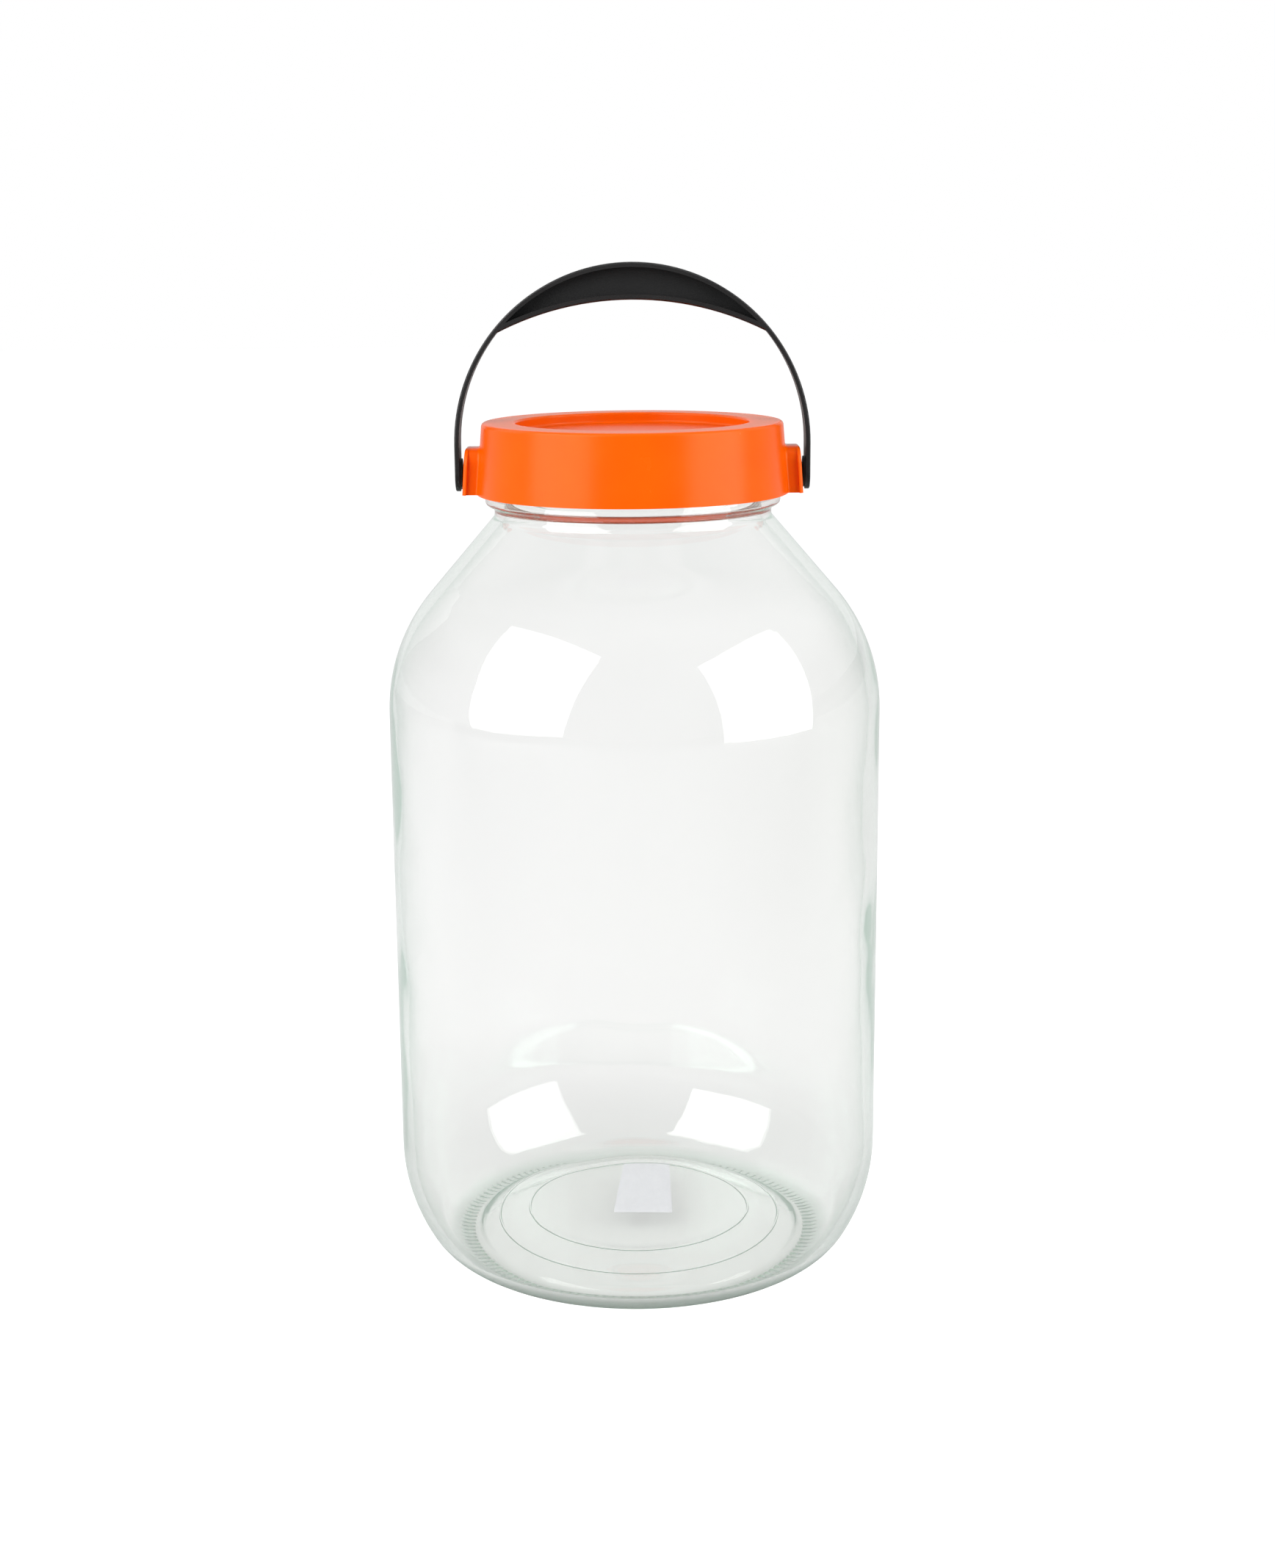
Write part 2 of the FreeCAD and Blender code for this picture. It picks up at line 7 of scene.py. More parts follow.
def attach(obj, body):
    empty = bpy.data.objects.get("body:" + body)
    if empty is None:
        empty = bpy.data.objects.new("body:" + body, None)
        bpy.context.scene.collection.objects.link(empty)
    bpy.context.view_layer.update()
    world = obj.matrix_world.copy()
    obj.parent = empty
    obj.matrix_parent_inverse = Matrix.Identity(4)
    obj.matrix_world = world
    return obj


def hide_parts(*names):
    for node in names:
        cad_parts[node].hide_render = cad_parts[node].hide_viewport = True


# A clear glass storage jar with an orange screw lid and a black carry handle. Metres, jar axis on Z.
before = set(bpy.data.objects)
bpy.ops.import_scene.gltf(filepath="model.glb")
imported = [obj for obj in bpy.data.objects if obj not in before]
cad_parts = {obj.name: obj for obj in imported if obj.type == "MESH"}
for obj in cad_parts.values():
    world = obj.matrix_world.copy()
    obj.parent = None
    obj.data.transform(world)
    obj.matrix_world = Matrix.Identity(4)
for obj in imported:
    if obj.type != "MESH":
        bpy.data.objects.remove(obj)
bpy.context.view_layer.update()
print("frame loaded")

mm = 0.001
fullTurn = 2 * math.pi
sharpFrom = math.radians(40)   # edges that turn by more than this stay sharp

cameraSettings = {
    "place": (0.0008, -0.8151, 0.3614),
    "pitch": 13.17,          # degrees below level
    "lean": 0.467,           # degrees, so that the jar leans a little to the left
    "lens": 54.1,
    "sensor": 36,
}


def makeCamera():
    bpy.ops.object.camera_add(location=cameraSettings["place"])
    camera = bpy.context.object
    tilt = Matrix.Rotation(math.radians(90 - cameraSettings["pitch"]), 3, "X")
    lean = Matrix.Rotation(math.radians(-cameraSettings["lean"]), 3, "Z")
    camera.rotation_euler = (tilt @ lean).to_euler()
    camera.data.lens = cameraSettings["lens"]
    camera.data.sensor_width = cameraSettings["sensor"]
    bpy.context.scene.camera = camera


makeCamera()
print("camera set")


def deselectAll():
    if bpy.context.mode != "OBJECT":
        bpy.ops.object.mode_set(mode="OBJECT")
    bpy.ops.object.select_all(action="DESELECT")


def applyModifiers(piece):
    bpy.context.view_layer.objects.active = piece
    for modifier in list(piece.modifiers):
        bpy.ops.object.modifier_apply(modifier=modifier.name)


def arcPoints(centre, radius, first, last, steps):
    # points on an arc in the XZ plane, in millimetres and degrees
    points = []
    for i in range(steps + 1):
        angle = math.radians(first + (last - first) * i / steps)
        points.append((centre[0] + radius * math.cos(angle), centre[1] + radius * math.sin(angle)))
    return points


def evenPoints(start, end, steps):
    # points between start and end, without the two ends
    return [(start[0] + (end[0] - start[0]) * i / steps, start[1] + (end[1] - start[1]) * i / steps)
            for i in range(1, steps)]


def drawSection(name, points, closed=False):
    # one vertex, extruded along the section's points; leaves the new object in edit mode
    deselectAll()
    bpy.ops.mesh.primitive_plane_add(size=mm, location=(0, 0, 0))
    piece = bpy.context.object
    piece.name = name
    piece.data.name = name
    bpy.ops.object.mode_set(mode="EDIT")
    bpy.ops.mesh.select_mode(type="VERT")
    bpy.ops.mesh.select_all(action="SELECT")
    bpy.ops.mesh.merge(type="CENTER")
    x, z = points[0]
    bpy.ops.transform.translate(value=(x * mm, 0, z * mm))
    for nextX, nextZ in points[1:]:
        bpy.ops.mesh.extrude_region_move(
            TRANSFORM_OT_translate={"value": ((nextX - x) * mm, 0, (nextZ - z) * mm)})
        x, z = nextX, nextZ
    if closed:
        bpy.ops.mesh.select_all(action="SELECT")
        bpy.ops.mesh.edge_face_add()
    return piece


def selectVertices(piece, wanted):
    # select by place: wanted is a test on radius and height in millimetres
    bpy.ops.object.mode_set(mode="OBJECT")
    for vertex in piece.data.vertices:
        x, y, z = vertex.co
        vertex.select = wanted(math.hypot(x, y) / mm, z / mm)
    for edge in piece.data.edges:
        edge.select = all(piece.data.vertices[i].select for i in edge.vertices)
    for face in piece.data.polygons:
        face.select = all(piece.data.vertices[i].select for i in face.vertices)
    bpy.ops.object.mode_set(mode="EDIT")


def roundCorner(piece, corner, size, segments):
    # round one corner of a section before it is spun
    near = 0.02
    bpy.ops.mesh.select_mode(type="VERT")
    selectVertices(piece, lambda r, z: abs(r - corner[0]) < near and abs(z - corner[1]) < near)
    bpy.ops.mesh.bevel(affect="VERTICES", offset=size * mm, segments=segments)


def spinSection(piece, steps):
    bpy.ops.mesh.select_all(action="SELECT")
    bpy.ops.mesh.spin(steps=steps, angle=fullTurn, center=(0, 0, 0), axis=(0, 0, 1))
    bpy.ops.mesh.select_all(action="SELECT")
    bpy.ops.mesh.remove_doubles(threshold=0.02 * mm)
    bpy.ops.mesh.normals_make_consistent(inside=False)


jarSizes = {
    # millimetres and degrees; a point is a radius and a height
    "steps": 256,            # round the axis
    "radius": 86.0,
    "wall": 3.5,
    "wallFoot": 40.38,       # where the straight wall begins
    "wallTop": 199.0,        # and ends
    "wallRows": 28,
    "finish": 47.2,          # radius that the thread stands on
    "finishRows": 27,        # close together, for the thread's sake
    "mouth": 44.3,           # radius inside
    "mouthRows": 6,
    "neckFoot": 268.26,      # where the mouth's straight wall ends inside
    "rimFoot": 294.26,       # where the rim begins to round
    # the slope between shoulder and neck, on either side of the glass
    "slopeOutside": ((70.762, 240.083), (48.332, 266.157)),
    "slopeInside": ((46.114, 263.369), (68.109, 237.8)),
    "slopeRows": 5,
    "arcs": {
        # centre, radius, first angle, last angle, steps
        "standingRing": ((61.0, 6.49), 6.49, -130.13, -90, 8),
        "heelLow": ((60.8, 19.5), 19.5, -90, -30.53, 10),
        "heelHigh": ((25.4, 40.38), 60.6, -30.53, 0, 8),
        "shoulder": ((23.0, 199.0), 63.0, 0, 40.7, 14),
        "neckFillet": ((50.0, 267.592), 2.2, 220.7, 180, 5),
        "rimOutside": ((46.1, 294.26), 1.1, 0, 90, 4),
        "rimInside": ((45.4, 294.26), 1.1, 90, 180, 4),
        "neckInside": ((51.8, 268.26), 7.5, 180, 220.7, 6),
        "shoulderInside": ((23.0, 199.0), 59.5, 40.7, 0, 14),
        "heelHighInside": ((25.4, 40.38), 57.1, 0, -30.53, 8),
        "heelLowInside": ((60.8, 19.5), 16.0, -30.53, -70, 9),
    },
    "beadCorners": ((47.8, 269.46), (50.9, 271.0), (50.9, 276.06), (47.2, 278.06)),
    "beadSoftness": 0.9,
    "beadSegments": 3,
    "moatCorner": (60.8, 3.5),   # the lowest line inside
    "moatSoftness": 4.0,
    "moatSegments": 8,
    "panelHeight": 8.4,      # of the pushed-up underside
    "panelRadius": 38.0,
    "fallRadius": 29.2,      # it curves down from there to the ring that the jar stands on
    "baseRows": (0, 10, 20, 30, 38, 40.0, 43, 46, 50.4, 53, 55),
    "mouldRings": {40.0: 0.22, 50.4: 0.26},   # radius, and how far each stands
    "mouldRingRows": (-0.7, -0.25, 0, 0.25, 0.7),
    "baseThickness": 4.3,
    "floorFall": (56, 90, 8),    # angles and steps of the curve inside
    "floorRows": (30.0, 20.0, 10.0, 0.0),
    "knurlsFrom": 60.8,      # short knurls round the heel, between these two radii
    "knurlsTo": 66.9,
    "knurlsBelow": 1.0,
    "knurlInset": 0.35,
    "knurlDepth": 0.35,
    # the inner wall stands to one side and wanders, as blown glass does
    "lean": 1.4,
    "ripple": 1.8,
    "rippleSize": 0.07,      # metres
    "wanderFrom": 40.0,      # height where that starts
    "wanderGrows": 80.0,     # and how far up it takes to grow
    "wanderTo": 237.5,       # height where it is gone again
    "wanderFades": 30.0,     # and how far below that it begins to fade
    "arcTop": 237.0,         # top of the shoulder's arc inside
    "onSurface": 0.05,       # what counts as lying on a surface
}

glassThread = {
    "lead": 12.0,            # rise in one turn
    "starts": 2,
    "low": 280.6,            # middle of the thread where it starts
    "turns": 0.9,
    "width": 3.2,
    "depth": 1.8,
    "fullness": 0.6,         # of its rounded profile; 1 is a plain wave
    "fade": 0.5,             # radians over which each end runs out
    "above": 278.3,          # clear of the bead
}


def threadHeight(angle, height):
    # 0 to 1: how high the thread stands at an angle round the jar and a height in millimetres
    highest = 0.0
    for start in range(glassThread["starts"]):
        first = (angle - start * fullTurn / glassThread["starts"]) % fullTurn
        for run in (first, first + fullTurn):
            end = glassThread["turns"] * fullTurn
            if run > end:
                continue
            middle = glassThread["low"] + glassThread["lead"] * run / fullTurn
            off = abs(height - middle) / (glassThread["width"] / 2)
            fade = min(1.0, run / glassThread["fade"], (end - run) / glassThread["fade"])
            if off < 1:
                profile = (0.5 + 0.5 * math.cos(math.pi * off)) ** glassThread["fullness"]
                highest = max(highest, fade * profile)
    return highest


def underHeight(radius):
    # height of the base's underside at a radius, both in millimetres
    run = max(0.0, radius - jarSizes["panelRadius"])
    fall = jarSizes["fallRadius"]
    return jarSizes["panelHeight"] - (fall - math.sqrt(fall ** 2 - run ** 2))


def jarSection():
    # half an outline: from the middle of the underside out, up the outside, and down the inside
    sizes, arcs = jarSizes, jarSizes["arcs"]
    outer, inner = sizes["radius"], sizes["radius"] - sizes["wall"]
    foot, top = sizes["wallFoot"], sizes["wallTop"]
    finish, mouth, rim = sizes["finish"], sizes["mouth"], sizes["rimFoot"]
    section = []
    # two fine rings that the mould leaves cross the underside
    for radius in sizes["baseRows"]:
        if radius in sizes["mouldRings"]:
            for away in sizes["mouldRingRows"]:
                drop = sizes["mouldRings"][radius] if away == 0 else 0
                section.append((radius + away, underHeight(radius + away) - drop))
        else:
            section.append((radius, underHeight(radius)))
    section += arcPoints(*arcs["standingRing"])
    section += arcPoints(*arcs["heelLow"])[2:]
    section += arcPoints(*arcs["heelHigh"])[1:]
    section += evenPoints((outer, foot), (outer, top), sizes["wallRows"])
    section += arcPoints(*arcs["shoulder"])
    section += evenPoints(*sizes["slopeOutside"], sizes["slopeRows"])
    section += arcPoints(*arcs["neckFillet"])
    section += sizes["beadCorners"]
    section += evenPoints(sizes["beadCorners"][-1], (finish, rim), sizes["finishRows"])
    section += arcPoints(*arcs["rimOutside"]) + arcPoints(*arcs["rimInside"])
    section += evenPoints((mouth, rim), (mouth, sizes["neckFoot"]), sizes["mouthRows"])
    section += arcPoints(*arcs["neckInside"])
    section += evenPoints(*sizes["slopeInside"], sizes["slopeRows"])
    section += arcPoints(*arcs["shoulderInside"])
    section += evenPoints((inner, top), (inner, foot), sizes["wallRows"])
    section += arcPoints(*arcs["heelHighInside"])
    section += arcPoints(*arcs["heelLowInside"])[1:] + [sizes["moatCorner"]]
    centre = (sizes["panelRadius"], sizes["panelHeight"] - sizes["fallRadius"])
    section += arcPoints(centre, sizes["fallRadius"] + sizes["baseThickness"], *sizes["floorFall"])
    floor = sizes["panelHeight"] + sizes["baseThickness"]
    return section + [(radius, floor) for radius in sizes["floorRows"]]


def pressKnurls(jar):
    bpy.ops.mesh.select_mode(type="FACE")
    bpy.ops.object.mode_set(mode="OBJECT")
    for face in jar.data.polygons:
        x, y, z = face.center
        step = int((math.atan2(y, x) % fullTurn) / fullTurn * jarSizes["steps"])
        inBand = jarSizes["knurlsFrom"] < math.hypot(x, y) / mm < jarSizes["knurlsTo"]
        face.select = inBand and z / mm < jarSizes["knurlsBelow"] and step % 2 == 0
    bpy.ops.object.mode_set(mode="EDIT")
    bpy.ops.mesh.inset(thickness=jarSizes["knurlInset"] * mm, depth=-jarSizes["knurlDepth"] * mm,
                       use_individual=True)
    bpy.ops.object.mode_set(mode="OBJECT")


def onInnerWall(radius, height):
    # whether a point is on the inside of the straight wall or of the shoulder's arc
    inner, close = jarSizes["radius"] - jarSizes["wall"], jarSizes["onSurface"]
    (centreRadius, centreHeight), arcRadius = jarSizes["arcs"]["shoulderInside"][:2]
    onArc = abs(math.hypot(radius - centreRadius, height - centreHeight) - arcRadius) < close
    return abs(radius - inner) < close or (
        onArc and radius < inner and jarSizes["wallTop"] < height < jarSizes["arcTop"])


def moveWalls(jar):
    # the screw thread is raised from the finish, and the inner wall wanders
    thread = jar.vertex_groups.new(name="thread")
    inside = jar.vertex_groups.new(name="inside")
    for vertex in jar.data.vertices:
        x, y, z = vertex.co
        radius = math.hypot(x, y) / mm
        height = z / mm
        onFinish = abs(radius - jarSizes["finish"]) < jarSizes["onSurface"]
        if onFinish and height > glassThread["above"]:
            weight = threadHeight(math.atan2(y, x), height)
            if weight > 0:
                thread.add([vertex.index], weight, "REPLACE")
        if onInnerWall(radius, height):
            grown = (height - jarSizes["wanderFrom"]) / jarSizes["wanderGrows"]
            left = (jarSizes["wanderTo"] - height) / jarSizes["wanderFades"]
            inside.add([vertex.index], min(1.0, grown, left), "REPLACE")
    raised = jar.modifiers.new("thread", "DISPLACE")
    raised.vertex_group = "thread"
    raised.strength = glassThread["depth"] * mm
    raised.mid_level = 0.0
    cloud = bpy.data.textures.new("wallRipple", "CLOUDS")
    cloud.noise_scale = jarSizes["rippleSize"]
    ripple = jar.modifiers.new("ripple", "DISPLACE")
    ripple.texture = cloud
    ripple.texture_coords = "LOCAL"
    ripple.vertex_group = "inside"
    ripple.strength = jarSizes["ripple"] * mm
    ripple.mid_level = 0.5
    lean = jar.modifiers.new("lean", "DISPLACE")
    lean.direction = "X"
    lean.vertex_group = "inside"
    lean.strength = -jarSizes["lean"] * mm
    lean.mid_level = 0.0
    applyModifiers(jar)


def makeJar():
    jar = drawSection("jarGlass", jarSection())
    roundCorner(jar, jarSizes["moatCorner"], jarSizes["moatSoftness"], jarSizes["moatSegments"])
    for corner in jarSizes["beadCorners"]:
        roundCorner(jar, corner, jarSizes["beadSoftness"], jarSizes["beadSegments"])
    spinSection(jar, jarSizes["steps"])
    pressKnurls(jar)
    moveWalls(jar)
    bpy.ops.object.shade_smooth()
    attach(jar, "jar")
    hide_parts("glass_jar")
    return jar


jar = makeJar()
print("jar made:", len(jar.data.polygons), "faces")


lidThread = {
    "low": 279.9,            # height of the rib's middle where it starts, clear of the glass bead
    "from": 69.0,            # degrees round the lid, half a pitch from the jar's thread
    "root": 51.2,            # in the skirt's wall
    "crest": 48.1,
    "rootHalf": 1.2,
    "crestHalf": 0.4,
    "turns": 0.72,
    "steps": 84,
    "least": 0.2,            # share of the rib's height at its two ends
    "swell": 0.1,            # share gained at each step from an end
}


def makeLidThread(number):
    low, root, steps = lidThread["low"], lidThread["root"], lidThread["steps"]
    corners = [(root, low - lidThread["rootHalf"]), (lidThread["crest"], low - lidThread["crestHalf"]),
               (lidThread["crest"], low + lidThread["crestHalf"]), (root, low + lidThread["rootHalf"])]
    rib = drawSection("lidThread" + str(number), corners, closed=True)
    turn = math.radians(lidThread["from"]) + number * fullTurn / glassThread["starts"]
    size = lidThread["least"]
    bpy.ops.transform.resize(value=(size, size, size), center_override=(root * mm, 0, low * mm))
    bpy.ops.transform.rotate(value=-turn, orient_axis="Z", center_override=(0, 0, 0))
    stepTurn = lidThread["turns"] * fullTurn / steps
    rise = glassThread["lead"] * lidThread["turns"] / steps * mm
    for step in range(1, steps + 1):
        turn += stepTurn
        target = min(1, lidThread["least"] + lidThread["swell"] * min(step, steps - step))
        bpy.ops.mesh.extrude_region_move(TRANSFORM_OT_translate={"value": (0, 0, rise)})
        bpy.ops.transform.rotate(value=-stepTurn, orient_axis="Z", center_override=(0, 0, 0))
        rootPlace = (root * mm * math.cos(turn), root * mm * math.sin(turn), low * mm + rise * step)
        bpy.ops.transform.resize(value=(target / size,) * 3, center_override=rootPlace)
        size = target
    bpy.ops.mesh.select_all(action="SELECT")
    bpy.ops.mesh.normals_make_consistent(inside=False)
    bpy.ops.object.mode_set(mode="OBJECT")
    bpy.ops.object.shade_smooth_by_angle(angle=sharpFrom)
    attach(rib, "lid")
    return rib


lidRibs = [makeLidThread(number) for number in range(glassThread["starts"])]
print("lid thread made")


labelSizes = {
    "width": 21.5,
    "length": 45.0,
    "place": (1.6, 17.0),    # of its middle
    "across": 12,
    "along": 30,
    "slant": 3.5,            # how far its far left corner has turned in
    "curl": 5.0,             # length of the near edge that has come away
    "drop": 0.9,             # how far that edge hangs
    "gap": 0.05,
    "thickness": 0.12,
}


def makeLabel():
    deselectAll()
    bpy.ops.mesh.primitive_grid_add(x_subdivisions=labelSizes["across"], y_subdivisions=labelSizes["along"],
                                    size=1, location=(0, 0, 0))
    label = bpy.context.object
    label.name = "paperLabel"
    label.data.name = "paperLabel"
    for vertex in label.data.vertices:
        across, along = vertex.co.x, vertex.co.y
        x = labelSizes["width"] * across + labelSizes["slant"] * (0.5 - across) * (0.5 + along)
        y = labelSizes["length"] * along
        loose = max(0.0, 1 - (0.5 + along) * labelSizes["length"] / labelSizes["curl"])
        x, y = x + labelSizes["place"][0], y + labelSizes["place"][1]
        z = underHeight(math.hypot(x, y)) - labelSizes["gap"] - labelSizes["drop"] * loose ** 2
        vertex.co = (x * mm, y * mm, z * mm)
    paper = label.modifiers.new("paper", "SOLIDIFY")
    paper.thickness = labelSizes["thickness"] * mm
    paper.offset = -1
    applyModifiers(label)
    bpy.ops.object.shade_smooth_by_angle(angle=sharpFrom)
    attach(label, "jar")
    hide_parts("base_label")
    return label


label = makeLabel()
print("label made")


def shade(red, green, blue):
    # from the 0 to 255 of a colour picker to what a shader takes
    channels = []
    for value in (red, green, blue):
        part = value / 255
        channels.append(part / 12.92 if part <= 0.04045 else ((part + 0.055) / 1.055) ** 2.4)
    return (*channels, 1.0)


def newMaterial(name):
    material = bpy.data.materials.new(name)
    material.use_nodes = True
    nodes = material.node_tree.nodes
    nodes.clear()
    output = nodes.new("ShaderNodeOutputMaterial")
    surface = nodes.new("ShaderNodeBsdfPrincipled")
    material.node_tree.links.new(surface.outputs["BSDF"], output.inputs["Surface"])
    return material, surface, output


def feed(tree, socket, value):
    # value is a number, a colour or another node's output
    if isinstance(value, bpy.types.NodeSocket):
        tree.links.new(value, socket)
    else:
        socket.default_value = value


def calculate(tree, operation, *values):
    node = tree.nodes.new("ShaderNodeMath")
    node.operation = operation
    for socket, value in zip(node.inputs, values):
        feed(tree, socket, value)
    return node.outputs["Value"]


def ramp(tree, value, start, end, low=0.0, high=1.0, kind="SMOOTHSTEP"):
    # from low to high while value goes from start to end
    node = tree.nodes.new("ShaderNodeMapRange")
    node.interpolation_type = kind
    limits = {"From Min": start, "From Max": end, "To Min": low, "To Max": high}
    for socket, limit in limits.items():
        feed(tree, node.inputs[socket], limit)
    tree.links.new(value, node.inputs["Value"])
    return node.outputs["Result"]


def blend(tree, kind, factor, first, second):
    # kind is FLOAT or RGBA; first where factor is 0, second where it is 1
    node = tree.nodes.new("ShaderNodeMix")
    node.data_type = kind
    feed(tree, node.inputs["Factor"], factor)
    feed(tree, node.inputs["A"], first)
    feed(tree, node.inputs["B"], second)
    return node.outputs["Result"]


def mixShaders(tree, factor, first, second):
    node = tree.nodes.new("ShaderNodeMixShader")
    feed(tree, node.inputs["Fac"], factor)
    tree.links.new(first, node.inputs[1])
    tree.links.new(second, node.inputs[2])
    return node.outputs["Shader"]


def addBump(tree, surface, height, depth):
    node = tree.nodes.new("ShaderNodeBump")
    node.inputs["Distance"].default_value = depth
    tree.links.new(height, node.inputs["Height"])
    tree.links.new(node.outputs["Normal"], surface.inputs["Normal"])


def objectPlace(tree):
    return tree.nodes.new("ShaderNodeTexCoord").outputs["Object"]


def splitPlace(tree, place):
    node = tree.nodes.new("ShaderNodeSeparateXYZ")
    tree.links.new(place, node.inputs["Vector"])
    return node.outputs


def lengthOf(tree, vector):
    node = tree.nodes.new("ShaderNodeVectorMath")
    node.operation = "LENGTH"
    tree.links.new(vector, node.inputs[0])
    return node.outputs["Value"]


def addNoise(tree, place, scale, detail):
    node = tree.nodes.new("ShaderNodeTexNoise")
    feed(tree, node.inputs["Scale"], scale)
    node.inputs["Detail"].default_value = detail
    tree.links.new(place, node.inputs["Vector"])
    return node.outputs["Fac"]


white = (1.0, 1.0, 1.0, 1.0)
onceOrMore = 0.5             # a count of bounces above this is one or more

glassLook = {
    "colour": (0.992, 0.992, 0.992, 1.0),
    "edgeColour": (0.12, 0.26, 0.20, 1.0),
    "edgeSpread": 0.5,
    "edgeSharpness": 9.0,    # how closely the green keeps to the outline
    "ior": 1.52,
    "absorb": (0.67, 0.70, 0.60, 1.0),
    "density": 15.0,
    "mostTurns": 1.5,        # inner reflections followed before the light is let out
    "letOut": (0.48, 0.62, 0.55, 1.0),
    "lampThrough": (0.93, 0.95, 0.94, 1.0),   # what a lamp's light keeps in passing through
    "rippleScale": 18.0,
    "rippleDetail": 1.0,
    "rippleDepth": 0.00012,
    "heelGreenAndShade": (0.80, 0.87, 0.83, 1.0),   # the thick heel glass's own deeper green, darkened further as painted shade where it comes down to the floor
    "heelInside": 0.0615,
    "heelFull": 0.0015,      # height up to which that is full
    "heelTop": 0.0050,
}


def makeGlass():
    material, surface, output = newMaterial("clearGlass")
    tree = material.node_tree
    nodes, links = tree.nodes, tree.links
    surface.inputs["Transmission Weight"].default_value = 1.0
    surface.inputs["Metallic"].default_value = 0.0
    surface.inputs["Roughness"].default_value = 0.0
    surface.inputs["IOR"].default_value = glassLook["ior"]

    # the wall takes on more of the glass's green where it is seen along its length
    facing = nodes.new("ShaderNodeLayerWeight")
    facing.inputs["Blend"].default_value = glassLook["edgeSpread"]
    alongWall = calculate(tree, "POWER", facing.outputs["Facing"], glassLook["edgeSharpness"])
    edge = blend(tree, "RGBA", alongWall, glassLook["colour"], glassLook["edgeColour"])

    place = objectPlace(tree)
    parts = splitPlace(tree, place)
    # painted shade with the glass's green: low on the heel, outside the inner floor, the colour darkens
    # where the glass meets the floor
    low = ramp(tree, parts["Z"], glassLook["heelFull"], glassLook["heelTop"], 1.0, 0.0)
    level = nodes.new("ShaderNodeCombineXYZ")
    links.new(parts["X"], level.inputs["X"])
    links.new(parts["Y"], level.inputs["Y"])
    away = lengthOf(tree, level.outputs["Vector"])
    outside = calculate(tree, "GREATER_THAN", away, glassLook["heelInside"])
    onHeel = calculate(tree, "MULTIPLY", low, outside)
    links.new(blend(tree, "RGBA", onHeel, edge, glassLook["heelGreenAndShade"]), surface.inputs["Base Color"])

    ripple = addNoise(tree, place, glassLook["rippleScale"], glassLook["rippleDetail"])
    addBump(tree, surface, ripple, glassLook["rippleDepth"])

    # light caught in the wall is let out after a few turns, greener, or the heel would be black
    path = nodes.new("ShaderNodeLightPath")
    caught = calculate(tree, "GREATER_THAN", path.outputs["Glossy Depth"], glassLook["mostTurns"])
    again = calculate(tree, "GREATER_THAN", path.outputs["Transparent Depth"], onceOrMore)
    letOut = nodes.new("ShaderNodeBsdfTransparent")
    links.new(blend(tree, "RGBA", again, glassLook["letOut"], white), letOut.inputs["Color"])
    wall = mixShaders(tree, caught, surface.outputs["BSDF"], letOut.outputs["BSDF"])

    # lamps reach what stands in and behind the jar
    clear = nodes.new("ShaderNodeBsdfTransparent")
    clear.inputs["Color"].default_value = glassLook["lampThrough"]
    links.new(mixShaders(tree, path.outputs["Is Shadow Ray"], wall, clear.outputs["BSDF"]),
              output.inputs["Surface"])

    absorb = nodes.new("ShaderNodeVolumeAbsorption")
    absorb.inputs["Color"].default_value = glassLook["absorb"]
    absorb.inputs["Density"].default_value = glassLook["density"]
    links.new(absorb.outputs["Volume"], output.inputs["Volume"])
    return material


grainLook = {
    "fineDetail": 3.0,
    "toneScale": 60.0,
    "toneDetail": 4.0,
}


def makeGrainGroup():
    # fine moulded grain with a little unevenness of tone and gloss, for both plastics
    group = bpy.data.node_groups.new("mouldedGrain", "ShaderNodeTree")
    group.interface.new_socket("Size", in_out="INPUT", socket_type="NodeSocketFloat")
    group.interface.new_socket("Height", in_out="OUTPUT", socket_type="NodeSocketFloat")
    group.interface.new_socket("Tone", in_out="OUTPUT", socket_type="NodeSocketFloat")
    asked = group.nodes.new("NodeGroupInput")
    given = group.nodes.new("NodeGroupOutput")
    place = objectPlace(group)
    fine = addNoise(group, place, asked.outputs["Size"], grainLook["fineDetail"])
    tone = addNoise(group, place, grainLook["toneScale"], grainLook["toneDetail"])
    group.links.new(fine, given.inputs["Height"])
    group.links.new(tone, given.inputs["Tone"])
    return group


grainGroup = makeGrainGroup()

lidLook = {
    "colour": shade(255, 108, 0),
    "deepColour": shade(252, 96, 0),
    "shine": 0.28,
    "shineTint": (1.0, 0.92, 0.55, 1.0),
    "letsThrough": 0.25,     # share of the light that comes through its thin wall
    "roughLow": 0.22,
    "roughHigh": 0.30,
    "grainSize": 2600.0,
    "grainDepth": 0.00002,
}

handleLook = {
    "colour": shade(16, 16, 17),
    "deepColour": shade(9, 9, 10),
    "shine": 0.5,
    "shineTint": white,
    "letsThrough": 0.0,
    "roughLow": 0.42,
    "roughHigh": 0.56,
    "grainSize": 1900.0,
    "grainDepth": 0.00003,
}


